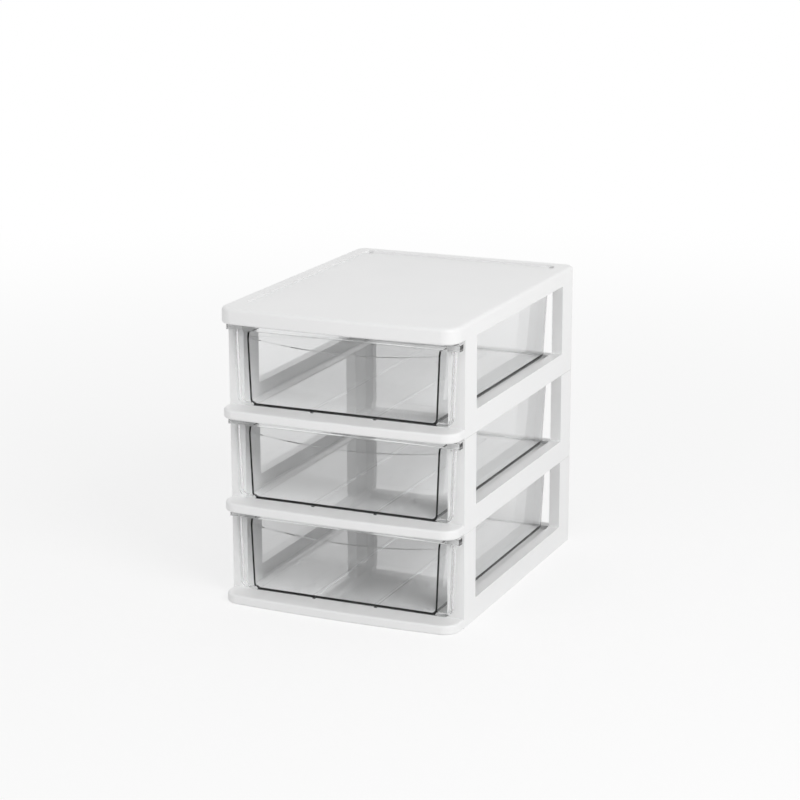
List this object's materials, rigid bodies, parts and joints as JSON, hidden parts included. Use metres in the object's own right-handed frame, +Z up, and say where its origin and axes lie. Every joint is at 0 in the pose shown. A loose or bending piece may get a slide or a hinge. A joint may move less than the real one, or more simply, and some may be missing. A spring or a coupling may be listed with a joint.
{
  "type": "drawer organizer",
  "caption": "Desk-top make-up organizer: a white bow-fronted frame in stacked tiers, with clear smoke-grey drawers that slide out by a finger grip along the top edge.",
  "frame": {"origin": "centre of the footprint, on the surface the object stands on", "axes": "+Z up, -Y out of the front (the way the drawers open), +X to the right seen from the front"},
  "size_m": [0.155, 0.21, 0.187],
  "materials": {
    "frame_white": "satin",
    "drawer_smoke": "clear gloss"
  },
  "bodies": {
    "cabinet": {"bottom_frame": "frame_white", "middle_frame": "frame_white", "top_frame": "frame_white"},
    "bottom_drawer": {"bottom_drawer": "drawer_smoke"},
    "middle_drawer": {"middle_drawer": "drawer_smoke"},
    "top_drawer": {"top_drawer": "drawer_smoke"}
  },
  "joints": [
    {"name": "bottom_drawer_slide", "type": "slide", "parent": "cabinet", "child": "bottom_drawer", "axis": [0, -1, 0], "range_m": [0, 0.14]},
    {"name": "middle_drawer_slide", "type": "slide", "parent": "cabinet", "child": "middle_drawer", "axis": [0, -1, 0], "range_m": [0, 0.14]},
    {"name": "top_drawer_slide", "type": "slide", "parent": "cabinet", "child": "top_drawer", "axis": [0, -1, 0], "range_m": [0, 0.14]}
  ]
}
